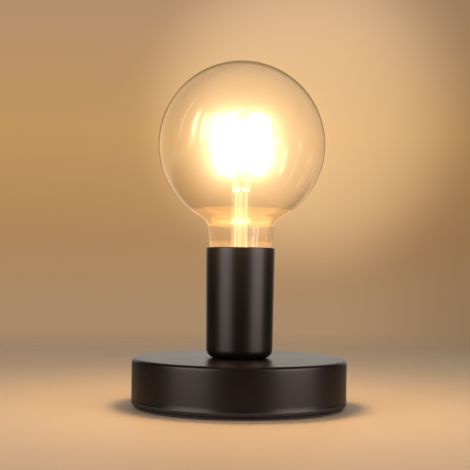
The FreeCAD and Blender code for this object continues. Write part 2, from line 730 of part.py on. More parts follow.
b = body("CapShell")
mr, mc, cw = q("male_root"), q("male_crest"), q("cap_wall")
lo, hi = q("cap_lo"), q("cap_hi")
ring(b, "CapTube", [
    (11.0, lo),
    (11.4, lo),
    (mr, lo + 2.6),
    (mr, hi - 4.0),
    (mr + 1.1, hi - 3.0),
    (mr + 1.2, hi),
    (mr + 1.2 - cw, hi),
    (mr + 1.1 - cw, hi - 2.8),
    (mr - cw, hi - 3.8),
    (mr - cw, lo + 2.9),
    (11.0, lo + 1.4),
])
doc.recompute()
ridge(b, "CapRidge", mr - 0.1, mc, 1.9, 0.8, lo + 3.6 + pitch / 2, 11.6)
node(b, "cap_shell")

b = body("CapCement")
ring(b, "CementRing", [(q("glass_foot_r") + 0.05, hi - 2.6), (mr + 1.1 - cw - 0.02, hi - 2.6),
                       (mr + 1.2 - cw - 0.02, hi - 0.1), (q("glass_foot_r") + 0.05, hi - 0.1)])
node(b, "cap_cement")

# ============================================================== bulb: glass
G, gzc, gw = q("globe_r"), q("globe_z"), q("glass_w")
nr, nf = q("neck_r"), q("neck_fillet")
fcx = nr + nf                                         # middle of the flare's arc
fcz = gzc - root((G + nf) * (G + nf) - fcx * fcx)
tx, tz = fcx * G / (G + nf), gzc - (gzc - fcz) * G / (G + nf)
ix, iz = fcx * (G - gw) / (G + nf), gzc - (gzc - fcz) * (G - gw) / (G + nf)
sr, nl = q("shoulder_r"), q("neck_lo_r")
scz = q("rim_z") + 0.6
gf = q("glass_foot_r")
b = body("GlassEnvelope")
ring(b, "Globe", [
    (gf, hi - 2.5),
    (gf, scz - sr),
    (nl - sr, scz - sr),
    (nl, scz, nl - sr, scz, 1),
    (nr, fcz),
    (tx, tz, fcx, fcz, -1),
    (0, gzc + G, 0, gzc, 1),
    (0, gzc + G - gw),
    (ix, iz, 0, gzc, -1),
    (nr - gw, fcz, fcx, fcz, 1),
    (nl - gw, scz),
    (nl - sr, scz - sr + gw, nl - sr, scz, -1),
    (gf - gw, scz - sr + gw),
    (gf - gw, hi - 2.5),
])
node(b, "glass_envelope")

# stem: trumpet foot, tube and solid press on top
b = body("StemTube")
st, sw = q("stem_r"), q("stem_wall")
ring(b, "StemProfile", [
    (gf - gw - 0.05, hi - 2.2),
    (gf - gw - 0.05, hi - 1.2),
    (st + 1.2, hi + 3.0),
    (st, hi + 7.0),
    (st, "stem_top"),
    (0, "stem_top"),
    (0, q("stem_top") - 1.0),
    (st - sw - 1.5, q("stem_top") - 1.0),
    (st - sw, q("stem_top") - 2.5, st - sw - 1.5, q("stem_top") - 2.5, -1),
    (st - sw, hi + 7.0),
    (st + 0.3, hi + 2.4),
    (gf - gw - 1.2, hi - 2.2),
])
doc.recompute()
pressb = box("StemPress", 10.4, 5.0, q("press_top") - q("stem_top"), -5.2, -2.5, "stem_top")
pressf = doc.addObject("Part::Fillet", "StemPressRound")
pressf.Base = pressb
doc.recompute()
pressf.Edges = [(i + 1, 1.2, 1.2) for i, e in enumerate(pressb.Shape.Edges)
                if abs(e.Vertexes[0].Point.z - e.Vertexes[1].Point.z) > 1
                or min(v.Point.z for v in e.Vertexes) > VAL["press_top"] - 0.1]
doc.recompute()
lead_x = 3.1
stem = cut("Stem", fuse("StemRaw", b, pressf),
           cyl("LeadHoleA", 0.38, 16.0, lead_x, 0, q("press_top") - 14),
           cyl("LeadHoleB", 0.38, 16.0, -lead_x, 0, q("press_top") - 14),
           cyl("PostHole", 0.62, 5.0, 0, 0, q("press_top") - 3))
node(stem, "glass_stem")

# sealed exhaust tube inside the stem, a little to one side
ex = cut("ExhaustTube", cyl("ExhaustOuter", 1.8, q("stem_top") - 1.0 - (hi - 2.5), -0.2, 0, hi - 2.5),
         cyl("ExhaustInner", 1.2, q("stem_top") - 2.0 - (hi - 1.5), -0.2, 0, hi - 1.5))
node(ex, "exhaust_tube")

# ============================================================== bulb: filament cage
pt, flo, fhi = VAL["press_top"], VAL["fil_lo"], VAL["fil_hi"]
clo, chi = VAL["cage_lo_r"], VAL["cage_hi_r"]
lead_r = 0.33


def polar(r, deg, z):
    a = math.radians(deg)
    return Vector(r * math.cos(a), r * math.sin(a), z)


def arc_rod(r, z, a0, a1, rr):
    """Bent wire: part of a circle of radius r at height z, from a0 to a1 degrees."""
    edge = Part.Arc(polar(r, a0, z), polar(r, (a0 + a1) / 2, z), polar(r, a1, z)).toShape()
    return rod(Part.Wire([edge]), rr)


# six straight filaments on a slightly twisted cage
TWIST = 20.0
ANGLES = [0, 60, 120, 180, 240, 300]
fils, tabs = [], []
for a in ANGLES:
    p0, p1 = polar(clo, a - 10, flo + 0.7), polar(chi, a - 10 + TWIST, fhi - 0.7)
    d = (p1 - p0).normalize()
    fils.append(Part.makeCylinder(VAL["fil_r"], (p1 - p0).Length - 2.0, p0 + d * 1.0, d))
    tabs.append(Part.makeCylinder(0.4, 1.0, p0, d))
    tabs.append(Part.makeCylinder(0.4, 1.0, p1 - d * 1.0, d))
node(feature("LedFilaments", Part.makeCompound(fils)), "led_filaments")

# two lower hoops, each carrying three filaments, with the lead wire that feeds it
lowers = []
for side_sign, a0 in ((1, -70), (-1, 110)):
    hoop = arc_rod(clo, flo + 0.35, a0 - 2, a0 + 122, 0.35)
    up = Part.makeCylinder(lead_r, pt + 0.6 - (VAL["cap_hi"] - 3.2), Vector(side_sign * lead_x, 0, VAL["cap_hi"] - 3.2))
    knee0 = Vector(side_sign * lead_x, 0, pt + 0.6)
    knee1 = polar(clo, a0 + 60, flo + 0.35)
    arm = Part.makeCylinder(lead_r, (knee1 - knee0).Length, knee0, (knee1 - knee0).normalize())
    ball = Part.makeSphere(lead_r, knee0)
    lowers.append(hoop.fuse([up, arm, ball]).removeSplitter())
node(feature("LeadWires", Part.makeCompound(lowers)), "lead_wires")

# glass post with a button on top and the upper hoop on three anchor wires
post = cyl("PostRod", 0.6, fhi + 1.0 - (pt - 2.9), 0, 0, pt - 2.9)
button = doc.addObject("Part::Sphere", "PostButton")
button.Radius = 1.5
place(button, 0, 0, fhi + 1.2)
postf = fuse("PostRaw", post, button)
node(postf, "filament_post")

hoop = Part.makeTorus(chi, 0.35, Vector(0, 0, fhi - 0.35), Vector(0, 0, 1))
arms = []
for a in (30, 150, 270):
    p0, p1 = polar(1.45, a, fhi + 1.0), polar(chi, a, fhi - 0.35)
    arms.append(Part.makeCylinder(0.25, (p1 - p0).Length, p0, (p1 - p0).normalize()))
upper = hoop.fuse(arms)
ball = Part.makeSphere(1.52, Vector(0, 0, fhi + 1.2))
upper = upper.cut(ball)
node(feature("UpperHoop", upper), "filament_hoop")

# solder tabs at the filaments' ends
clean = []
for t in tabs:
    c = t.cut(Part.makeCompound(lowers)).cut(upper)
    clean.extend(c.Solids if len(c.Solids) == 1 else sorted(c.Solids, key=lambda k: -k.Volume)[:1])
node(feature("FilamentTabs", Part.makeCompound(clean)), "filament_tabs")

# ============================================================== bulb: driver in the cap
node(box("DriverBoard", 19.0, 1.0, 15.6, -9.5, -0.5, lo + 2.0), "driver_board")
node(cyl("DriverCapacitor", 3.9, 10.5, -3.6, 4.4, lo + 4.4), "driver_capacitor")
node(box("DriverChip", 5.0, 1.5, 4.0, 1.5, -2.0, lo + 6.0), "driver_chip")
node(cyl("DriverFuse", 1.4, 8.0, -5.0, -1.9, lo + 5.4), "driver_fuse")

# lead from the board to the foot contact, and one to the cap's rim
l1 = Part.makeCylinder(0.3, VAL["cap_lo"] + 2.0 - VAL["contact_z"] - 1.25, Vector(0, 0, VAL["contact_z"] + 1.25))
l2 = rod(run([(8.8, 0.5, VAL["cap_lo"] + 12.0), (8.8, 3.0, VAL["cap_lo"] + 12.0), (8.8, 3.0, VAL["cap_lo"] + 15.2),
              (11.0, 3.2, VAL["cap_lo"] + 16.4)], 0.9), 0.25)
node(feature("DriverLeads", Part.makeCompound([l1, l2])), "driver_leads")

# ============================================================== check and write
doc.recompute()
bad = []
for o in doc.Objects:
    if any(x in ("Invalid", "Error") for x in o.State):
        bad.append("%s: %s" % (o.Name, o.State))
for name, o in NODES:
    shape = o.Shape
    if shape.isNull():
        bad.append(name + ": no shape")
        continue
    if not shape.isValid():
        bad.append(name + ": not valid")
    if not shape.Solids:
        bad.append(name + ": no solid")
if bad:
    raise RuntimeError("; ".join(bad))

os.makedirs("parts", exist_ok=True)
for name, o in NODES:
    o.Shape.exportStep("parts/%s.step" % name)
    bb = o.Shape.BoundBox
    print("%-24s solids %d  vol %10.2f  x %7.2f..%7.2f y %7.2f..%7.2f z %7.2f..%7.2f" % (
        name, len(o.Shape.Solids), o.Shape.Volume, bb.XMin, bb.XMax, bb.YMin, bb.YMax, bb.ZMin, bb.ZMax))
print("%d sub-parts" % len(NODES))
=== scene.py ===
import bpy
import bmesh
import json
import math
import random
from mathutils import Vector, Matrix


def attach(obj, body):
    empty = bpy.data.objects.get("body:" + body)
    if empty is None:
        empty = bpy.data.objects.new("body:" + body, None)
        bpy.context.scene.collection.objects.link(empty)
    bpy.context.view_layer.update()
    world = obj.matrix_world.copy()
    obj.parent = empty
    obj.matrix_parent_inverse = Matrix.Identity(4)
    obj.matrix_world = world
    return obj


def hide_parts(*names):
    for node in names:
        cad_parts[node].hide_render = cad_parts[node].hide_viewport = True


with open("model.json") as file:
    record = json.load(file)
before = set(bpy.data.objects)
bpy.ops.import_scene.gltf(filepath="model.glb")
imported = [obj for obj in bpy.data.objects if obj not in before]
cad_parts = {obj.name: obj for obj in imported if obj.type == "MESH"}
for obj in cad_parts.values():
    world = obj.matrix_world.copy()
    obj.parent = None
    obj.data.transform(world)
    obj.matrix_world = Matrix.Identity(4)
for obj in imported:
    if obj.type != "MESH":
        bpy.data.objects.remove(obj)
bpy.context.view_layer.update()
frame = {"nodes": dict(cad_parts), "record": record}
MM = 0.001
TAU = 2 * math.pi
scene = bpy.context.scene

# ------------------------------------------------------------------ camera
# Long lens, a little above the base's top face, tipped up by two degrees.
pitch, yaw, roll = (math.radians(a) for a in (1.954, -0.3057, 0.7218))
fwd = Vector((math.sin(yaw) * math.cos(pitch), math.cos(yaw) * math.cos(pitch), math.sin(pitch)))
right = Vector((math.cos(yaw), -math.sin(yaw), 0))
up = right.cross(fwd)
r2 = right * math.cos(roll) + up * math.sin(roll)
u2 = up * math.cos(roll) - right * math.sin(roll)
cam_data = bpy.data.cameras.new("camera")
cam_data.sensor_fit = "HORIZONTAL"
cam_data.sensor_width = 36.0
cam_data.lens = 1067.86 / 470 * 36.0
cam_data.clip_start, cam_data.clip_end = 0.01, 50.0
cam = bpy.data.objects.new("camera", cam_data)
m = Matrix((r2, u2, -fwd)).transposed().to_4x4()
m.translation = Vector((0, -0.6083, 0.07649))
cam.matrix_world = m
scene.collection.objects.link(cam)
scene.camera = cam


# ------------------------------------------------------------------ materials
class Tree:
    """Short way to write a node tree."""

    def __init__(self, tree):
        self.t = tree
        self.t.nodes.clear()

    def n(self, kind, **kw):
        node = self.t.nodes.new(kind)
        for k, v in kw.items():
            setattr(node, k, v)
        return node

    def link(self, a, b):
        self.t.links.new(a, b)

    def noise(self, coord, scale, detail=3.0, rough=0.5, distort=0.0):
        n = self.n("ShaderNodeTexNoise")
        n.inputs["Scale"].default_value = scale
        n.inputs["Detail"].default_value = detail
        n.inputs["Roughness"].default_value = rough
        n.inputs["Distortion"].default_value = distort
        self.link(coord, n.inputs["Vector"])
        return n.outputs["Fac"]

    def remap(self, value, lo, hi, a, b):
        n = self.n("ShaderNodeMapRange")
        n.inputs["From Min"].default_value = lo
        n.inputs["From Max"].default_value = hi
        n.inputs["To Min"].default_value = a
        n.inputs["To Max"].default_value = b
        self.link(value, n.inputs["Value"])
        return n.outputs["Result"]

    def ramp(self, value, stops):
        n = self.n("ShaderNodeValToRGB")
        e = n.color_ramp.elements
        while len(e) < len(stops):
            e.new(0.5)
        for el, (p, c) in zip(e, stops):
            el.position = p
            el.color = (*c, 1) if len(c) == 3 else c
        self.link(value, n.inputs["Fac"])
        return n.outputs["Color"]

    def math(self, op, a, b=None, clamp=False):
        n = self.n("ShaderNodeMath", operation=op, use_clamp=clamp)
        for i, x in enumerate((a, b)):
            if x is None:
                continue
            if isinstance(x, (int, float)):
                n.inputs[i].default_value = x
            else:
                self.link(x, n.inputs[i])
        return n.outputs[0]

    def mix(self, fac, a, b):
        n = self.n("ShaderNodeMix", data_type="RGBA")
        for name, x in (("Factor", fac), ("A", a), ("B", b)):
            # the colour sockets of this node share names with its other types
            sock = [s for s in n.inputs if s.name == name and (s.type == "RGBA" or name == "Factor") and s.enabled][0]
            if isinstance(x, (int, float)):
                sock.default_value = x
            elif isinstance(x, (tuple, list)):
                sock.default_value = (*x, 1)
            else:
                self.link(x, sock)
        return [s for s in n.outputs if s.type == "RGBA" and s.enabled][0]

    def bump(self, height, strength, distance):
        n = self.n("ShaderNodeBump")
        n.inputs["Strength"].default_value = strength
        n.inputs["Distance"].default_value = distance
        self.link(height, n.inputs["Height"])
        return n.outputs["Normal"]


def new_mat(name):
    mat = bpy.data.materials.new(name)
    mat.use_nodes = True
    return mat, Tree(mat.node_tree)


def principled(t, rough=0.5, metallic=0.0, spec=0.5, coat=0.0, coat_rough=0.1, ior=1.5):
    p = t.n("ShaderNodeBsdfPrincipled")
    p.inputs["Roughness"].default_value = rough
    p.inputs["Metallic"].default_value = metallic
    p.inputs["Specular IOR Level"].default_value = spec
    p.inputs["Coat Weight"].default_value = coat
    p.inputs["Coat Roughness"].default_value = coat_rough
    p.inputs["IOR"].default_value = ior
    out = t.n("ShaderNodeOutputMaterial")
    t.link(p.outputs[0], out.inputs["Surface"])
    return p


def band(t, z, lo, hi, soft):
    """1 between two heights in metres, with soft edges."""
    n = []
    for a, b in ((lo - soft, lo + soft), (hi + soft, hi - soft)):
        m = t.n("ShaderNodeMapRange", interpolation_type="SMOOTHSTEP")
        m.inputs["From Min"].default_value, m.inputs["From Max"].default_value = a, b
        t.link(z, m.inputs["Value"])
        n.append(m.outputs["Result"])
    return t.math("MULTIPLY", *n)


def coated(name, dark, light, rough, spread, grain, depth, spec=0.5, metallic=0.0, cloud=40.0, coat=0.0, painted_light_bands=()):
    """A finish whose colour and gloss drift slowly and whose surface has a fine grain.
    grain is its size in metres, depth its height. The last argument lists heights between which the finish is painted
    paler, as painted reflection and painted highlight, and is duller."""
    mat, t = new_mat(name)
    co = t.n("ShaderNodeTexCoord").outputs["Object"]
    slow = t.noise(co, cloud, 4.0, 0.55)
    fine = t.noise(co, 1.0 / grain, 3.0, 0.6)
    p = principled(t, rough, metallic, spec, coat)
    colour = t.mix(t.remap(slow, 0.3, 0.7, 0, 1), dark, light)
    both = t.math("ADD", t.math("MULTIPLY", slow, 0.6), t.math("MULTIPLY", fine, 0.4))
    gloss = t.remap(both, 0.3, 0.7, rough - spread, rough + spread)
    if painted_light_bands:
        sep = t.n("ShaderNodeSeparateXYZ")
        t.link(co, sep.inputs[0])
        # each band is painted paler: painted light standing in for reflection and highlight at the drum's foot
        for lo, hi, pale, dull in painted_light_bands:
            mask = band(t, sep.outputs["Z"], lo, hi, 0.0001)
            colour = t.mix(mask, colour, pale)
            gloss = t.math("ADD", gloss, t.math("MULTIPLY", mask, dull))
    t.link(colour, p.inputs["Base Color"])
    t.link(gloss, p.inputs["Roughness"])
    t.link(t.bump(fine, 0.6, depth), p.inputs["Normal"])
    return mat


MATS = {
    # the band at z 1.7-3.4 mm is painted paler as a painted reflection of the floor, and the bead at z 3.5-4.0 mm paler
    # and duller as a painted highlight line
    "black_paint": coated("black_paint", (0.0056, 0.0031, 0.0027), (0.0076, 0.0044, 0.0039), 0.33, 0.03,
                          0.00035, 0.000006, spec=0.45, cloud=28.0,
                          painted_light_bands=((0.0017, 0.0034, (0.030, 0.025, 0.022), 0.10), (0.0035, 0.0040, (0.050, 0.047, 0.044), 0.22))),
    "black_plate": coated("black_plate", (0.010, 0.0085, 0.008), (0.016, 0.014, 0.013), 0.55, 0.06, 0.0006, 0.00001, spec=0.4),
    "foot_rubber": coated("foot_rubber", (0.040, 0.036, 0.033), (0.060, 0.054, 0.050), 0.85, 0.08, 0.0004, 0.00003, spec=0.3),
    "cast_iron": coated("cast_iron", (0.05, 0.05, 0.052), (0.11, 0.108, 0.105), 0.7, 0.12, 0.0009, 0.00008, metallic=0.7),
    "zinc_steel": coated("zinc_steel", (0.50, 0.50, 0.49), (0.66, 0.66, 0.64), 0.32, 0.1, 0.0005, 0.000008, metallic=1.0, cloud=160.0),
    "brass": coated("brass", (0.60, 0.42, 0.18), (0.74, 0.56, 0.27), 0.30, 0.1, 0.0005, 0.000008, metallic=1.0, cloud=160.0),
    "bronze": coated("bronze", (0.50, 0.29, 0.14), (0.66, 0.42, 0.22), 0.30, 0.1, 0.0005, 0.000008, metallic=1.0, cloud=160.0),
    "black_plastic": coated("black_plastic", (0.010, 0.010, 0.010), (0.017, 0.017, 0.017), 0.5, 0.06, 0.0004, 0.00001, spec=0.45, cloud=90.0),
    "holder_plastic": coated("holder_plastic", (0.018, 0.015, 0.013), (0.028, 0.024, 0.021), 0.36, 0.06, 0.0005, 0.000008, cloud=90.0),
    "white_plastic": coated("white_plastic", (0.68, 0.66, 0.60), (0.76, 0.74, 0.69), 0.45, 0.06, 0.0005, 0.000008, cloud=120.0),
    "porcelain": coated("porcelain", (0.74, 0.71, 0.63), (0.84, 0.82, 0.76), 0.42, 0.12, 0.0006, 0.00002, cloud=120.0),
    "nickel_shell": coated("nickel_shell", (0.58, 0.55, 0.49), (0.72, 0.69, 0.63), 0.26, 0.08, 0.0006, 0.000008, metallic=1.0, cloud=160.0),
    "nickel_cap": coated("nickel_cap", (0.60, 0.57, 0.52), (0.74, 0.71, 0.66), 0.22, 0.07, 0.0006, 0.000006, metallic=1.0, cloud=160.0),
    "wire_brown": coated("wire_brown", (0.10, 0.04, 0.018), (0.14, 0.06, 0.028), 0.42, 0.06, 0.0005, 0.00001, cloud=120.0),
    "wire_blue": coated("wire_blue", (0.02, 0.06, 0.26), (0.03, 0.09, 0.34), 0.42, 0.06, 0.0005, 0.00001, cloud=120.0),
    "wire_green": coated("wire_green", (0.07, 0.22, 0.03), (0.12, 0.30, 0.05), 0.42, 0.06, 0.0005, 0.00001, cloud=120.0),
    "solder": coated("solder", (0.46, 0.46, 0.45), (0.68, 0.68, 0.66), 0.30, 0.12, 0.0008, 0.00004, metallic=1.0, cloud=300.0),
    "black_glass": coated("black_glass", (0.006, 0.006, 0.008), (0.012, 0.012, 0.016), 0.10, 0.04, 0.0012, 0.00001, spec=0.55, cloud=200.0),
    "cement": coated("cement", (0.52, 0.49, 0.42), (0.66, 0.63, 0.56), 0.85, 0.08, 0.0004, 0.00006, cloud=200.0),
    "nickel_wire": coated("nickel_wire", (0.42, 0.40, 0.37), (0.56, 0.54, 0.50), 0.25, 0.06, 0.0004, 0.000004, metallic=1.0, cloud=300.0),
    "board": coated("board", (0.02, 0.10, 0.045), (0.03, 0.14, 0.06), 0.35, 0.06, 0.0005, 0.00001, cloud=150.0),
    "capacitor": coated("capacitor", (0.010, 0.012, 0.02), (0.02, 0.024, 0.035), 0.25, 0.06, 0.0006, 0.000006, cloud=150.0),
    "fuse_body": coated("fuse_body", (0.22, 0.30, 0.24), (0.30, 0.38, 0.31), 0.3, 0.06, 0.0006, 0.00001, cloud=200.0),
}


def globe_painted_glow(t, co):
    """Painted glow: emission standing in for the filaments' light reflected and carried in the globe's glass, in the
    flare and at the foot of the neck, and as painted glints at a few scattered points."""
    sep = t.n("ShaderNodeSeparateXYZ")
    t.link(co, sep.inputs[0])
    z = sep.outputs["Z"]
    level = t.math("MULTIPLY", band(t, z, 0.1022, 0.1118, 0.0004), 0.16)
    # the painted glow is weaker where the glass is seen edge on
    thick = t.n("ShaderNodeLayerWeight")
    side = t.n("ShaderNodeMapRange", interpolation_type="SMOOTHSTEP")
    side.inputs["From Min"].default_value, side.inputs["From Max"].default_value = 0.62, 0.50
    t.link(thick.outputs["Facing"], side.inputs["Value"])
    level = t.math("MULTIPLY", level, side.outputs["Result"])
    level = t.math("ADD", level, t.math("MULTIPLY", band(t, z, 0.0885, 0.0935, 0.0004), 0.06))
    # painted glints: a few scattered points of the glass glow
    cell = t.n("ShaderNodeTexVoronoi", feature="F1")
    cell.inputs["Scale"].default_value = 260.0
    t.link(co, cell.inputs["Vector"])
    pick = t.n("ShaderNodeSeparateColor")
    t.link(cell.outputs["Color"], pick.inputs[0])
    painted_glint = t.math("MULTIPLY", t.math("LESS_THAN", cell.outputs["Distance"], 0.07), t.math("GREATER_THAN", pick.outputs[0], 0.8))
    level = t.math("ADD", level, t.math("MULTIPLY", painted_glint, 0.35))
    # and a faint painted glow all over, more in the lower half
    low = t.n("ShaderNodeMapRange", interpolation_type="SMOOTHSTEP")
    for k, v in (("From Min", 0.160), ("From Max", 0.115), ("To Min", 0.012), ("To Max", 0.027)):
        low.inputs[k].default_value = v
    t.link(z, low.inputs["Value"])
    level = t.math("ADD", level, low.outputs["Result"])
    return level, (1.0, 0.44, 0.09)


def stem_painted_glow(t, co):
    """Painted glow: emission in streaks, standing in for the filaments' light running down the stem and mirrored in it.
    """
    stretch = t.n("ShaderNodeMapping")
    stretch.inputs["Scale"].default_value = (1.0, 1.0, 0.02)
    t.link(co, stretch.inputs["Vector"])
    streak = t.noise(stretch.outputs[0], 900.0, 1.0, 0.4)
    sep = t.n("ShaderNodeSeparateXYZ")
    t.link(co, sep.inputs[0])
    # a band of painted glow at the height of the globe's flare
    patch = t.math("MULTIPLY", band(t, sep.outputs["Z"], 0.1035, 0.108, 0.0012), 0.16)
    return t.math("ADD", t.remap(streak, 0.42, 0.68, 0.02, 0.20), patch), (1.0, 0.72, 0.32)


def glass(name, tint, glow, rough=0.0):
    """Clear glass whose shadows let lamp light through, with the painted glow that glow() returns as its emission."""
    mat, t = new_mat(name)
    co = t.n("ShaderNodeTexCoord").outputs["Object"]
    p = principled(t, rough, 0.0, 0.5, 0.0, 0.1, 1.50)
    p.inputs["Transmission Weight"].default_value = 1.0
    # faint unevenness of blown glass, and its tint
    wave = t.noise(co, 22.0, 2.0, 0.4)
    t.link(t.mix(t.remap(wave, 0.3, 0.7, 0, 1), tint, tuple(min(1.0, c + 0.012) for c in tint)), p.inputs["Base Color"])
    t.link(t.bump(wave, 0.25, 0.0004), p.inputs["Normal"])
    # painted glow: emission standing in for the filaments' light in the glass
    level, colour = glow(t, co)
    p.inputs["Emission Color"].default_value = (*colour, 1)
    t.link(level, p.inputs["Emission Strength"])
    clear = t.n("ShaderNodeBsdfTransparent")
    clear.inputs["Color"].default_value = (0.97, 0.965, 0.95, 1)
    mixer = t.n("ShaderNodeMixShader")
    path = t.n("ShaderNodeLightPath")
    t.link(path.outputs["Is Shadow Ray"], mixer.inputs[0])
    t.link(p.outputs[0], mixer.inputs[1])
    t.link(clear.outputs[0], mixer.inputs[2])
    out = [n for n in t.t.nodes if n.type == "OUTPUT_MATERIAL"][0]
    t.link(mixer.outputs[0], out.inputs["Surface"])
    return mat


MATS["clear_glass"] = glass("clear_glass", (0.985, 0.975, 0.955), globe_painted_glow)
MATS["stem_glass"] = glass("stem_glass", (0.985, 0.975, 0.95), stem_painted_glow)


def lit(name, colour, strength):
    """Phosphor rod, brighter over the chips inside it."""
    mat, t = new_mat(name)
    co = t.n("ShaderNodeTexCoord").outputs["Object"]
    sep = t.n("ShaderNodeSeparateXYZ")
    t.link(co, sep.inputs[0])
    # chips every 1.3 mm along the rod
    wave = t.math("SINE", t.math("MULTIPLY", sep.outputs["Z"], TAU / 0.0013))
    level = t.math("MULTIPLY", t.remap(wave, -1, 1, 0.75, 1.15), t.math("ADD", 0.5, t.math("MULTIPLY", band(t, sep.outputs["Z"], 0.136, 0.161, 0.004), 0.65)))
    p = principled(t, 0.45, 0.0, 0.5)
    p.inputs["Base Color"].default_value = (0.85, 0.62, 0.22, 1)
    p.inputs["Emission Color"].default_value = (*colour, 1)
    # full strength to the eye, much less when mirrored: bulb_light lights the rest
    path = t.n("ShaderNodeLightPath")
    level = t.math("MULTIPLY", level, t.remap(t.math("GREATER_THAN", path.outputs["Glossy Depth"], 0.5), 0, 1, 1.0, 0.05))
    level = t.math("MULTIPLY", level, t.math("LESS_THAN", path.outputs["Diffuse Depth"], 0.5))
    t.link(t.math("MULTIPLY", level, strength), p.inputs["Emission Strength"])
    mat.cycles.emission_sampling = "NONE"
    return mat


MATS["led_phosphor"] = lit("led_phosphor", (1.0, 0.68, 0.34), 160.0)

# painted glow: emission on the wires between the filaments, standing in for the filaments' light falling on them
wire_painted_glow = [n for n in MATS["nickel_wire"].node_tree.nodes if n.type == "BSDF_PRINCIPLED"][0]
wire_painted_glow.inputs["Emission Color"].default_value = (1.0, 0.74, 0.42, 1)
wire_painted_glow.inputs["Emission Strength"].default_value = 0.9

slots = {s["node"]: s["material_slot"] for s in frame["record"]["subparts"]}
for name, obj in frame["nodes"].items():
    mat = MATS[slots[name]]
    if obj.data.materials:
        for i in range(len(obj.data.materials)):
            obj.data.materials[i] = mat
    else:
        obj.data.materials.append(mat)


# ------------------------------------------------------------------ meshes
def link(name, mesh, mat):
    obj = bpy.data.objects.new(name, mesh)
    scene.collection.objects.link(obj)
    mesh.materials.append(mat)
    return obj


def finish_mesh(mesh, sharp=35.0, smooth=True):
    bm = bmesh.new()
    bm.from_mesh(mesh)
    bmesh.ops.remove_doubles(bm, verts=bm.verts, dist=1e-7)
    bmesh.ops.recalc_face_normals(bm, faces=bm.faces)
    bm.to_mesh(mesh)
    bm.free()
    if smooth:
        mesh.shade_smooth()
        mesh.set_sharp_from_angle(angle=math.radians(sharp))
    mesh.update()
    return mesh


def lathe(name, profile, mat, segs=192, shape=None, sharp=35.0):
    """Turns a closed profile of (r, z) in millimetres about Z. shape(r, z, angle) may
    return another (x, y) for a point, for what isn't round."""
    verts, rings = [], []
    for r, z in profile:
        if r < 1e-6:
            rings.append([len(verts)])
            verts.append((0, 0, z * MM))
            continue
        ring = []
        for k in range(segs):
            a = TAU * k / segs
            x, y = (r * math.cos(a), r * math.sin(a)) if shape is None else shape(r, z, a)
            ring.append(len(verts))
            verts.append((x * MM, y * MM, z * MM))
        rings.append(ring)
    faces = []
    for i in range(len(rings)):
        a, b = rings[i], rings[(i + 1) % len(rings)]
        if len(a) == 1 and len(b) == 1:
            continue
        for k in range(segs):
            j = (k + 1) % segs
            if len(a) == 1:
                faces.append((a[0], b[j], b[k]))
            elif len(b) == 1:
                faces.append((a[k], a[j], b[0]))
            else:
                faces.append((a[k], a[j], b[j], b[k]))
    mesh = bpy.data.meshes.new(name)
    mesh.from_pydata(verts, [], faces)
    finish_mesh(mesh, sharp)
    return link(name, mesh, mat)


def arc(cx, cz, r, a0, a1, n):
    """Points of an arc in the profile plane, angles in degrees."""
    return [(cx + r * math.cos(math.radians(a0 + (a1 - a0) * i / n)),
             cz + r * math.sin(math.radians(a0 + (a1 - a0) * i / n))) for i in range(n + 1)]


def line(p, q, n):
    return [(p[0] + (q[0] - p[0]) * i / n, p[1] + (q[1] - p[1]) * i / n) for i in range(1, n)]


# ---- base drum: spun sheet with a rounded top edge and a turned-in lip
R, TOP, W = 60.7, 27.5, 1.2
FIL, LIP = 2.0, 1.9
profile = [(5.2, TOP)] + line((5.2, TOP), (R - FIL, TOP), 10)
profile += arc(R - FIL, TOP - FIL, FIL, 90, 0, 14)
profile += line((R, TOP - FIL), (R, 4.2), 8)
# a narrow bead that stands proud, then a band down to the turned-in lip
profile += [(R, 4.2), (R + 0.02, 4.14), (R + 0.09, 3.98), (R + 0.12, 3.88), (R + 0.12, 3.62), (R + 0.07, 3.45)]
profile += line((R + 0.07, 3.45), (R - 0.15, 2.3), 3)
profile += [(R - 0.15, 2.3), (R - 0.3, 2.05), (R - 0.6, 1.92), (R - 1.4, LIP)]
profile += [(R - 4.2, LIP), (R - 4.2, LIP + 1.1), (R - W, LIP + 1.1)]
profile += arc(R - FIL, TOP - FIL, FIL - W, 0, 90, 10)
profile += [(5.2, TOP - W)]
drum = lathe("base_drum", profile, MATS["black_paint"], 256)
# the hole that the cord gland sits in
mesh = bpy.data.meshes.new("gland_hole")
bm = bmesh.new()
bmesh.ops.create_cone(bm, cap_ends=True, segments=64, radius1=0.005, radius2=0.005, depth=0.02,
                      matrix=Matrix.Translation((0, 0.06, 0.0142)) @ Matrix.Rotation(math.radians(90), 4, "X"))
bm.to_mesh(mesh)
bm.free()
cutter = bpy.data.objects.new("gland_hole", mesh)
scene.collection.objects.link(cutter)
mod = drum.modifiers.new("hole", "BOOLEAN")
mod.operation, mod.object, mod.solver = "DIFFERENCE", cutter, "EXACT"
bpy.context.view_layer.update()
done = bpy.data.meshes.new_from_object(drum.evaluated_get(bpy.context.evaluated_depsgraph_get()))
drum.modifiers.clear()
drum.data = done
done.shade_smooth()
done.set_sharp_from_angle(angle=math.radians(35))
bpy.data.objects.remove(cutter)
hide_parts("base_shell")
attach(drum, "stand")

# ---- socket cover: drawn cup with a rounded foot and a slightly rounded rim
C, F, RD, RIM = 19.5, 18.8, 5.2, 90.0
profile = [(5.2, TOP), (F - RD, TOP)]
profile += arc(F - RD, TOP + RD, RD, -90, 0, 16)[1:]
profile += line((F, TOP + RD), (C, RIM - 0.6), 12)
profile += arc(C - 0.6, RIM - 0.6, 0.6, 0, 90, 7)
profile += arc(C - 0.9, RIM - 0.3, 0.3, 90, 180, 4)
profile += line((C - W, RIM - 0.3), (F - W, TOP + RD), 12)
profile += arc(F - RD, TOP + RD, RD - W, 0, -90, 10)
profile += [(5.2, TOP + W)]
cover = lathe("cover_cup", profile, MATS["black_paint"], 192)
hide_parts("socket_cover")
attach(cover, "stand")

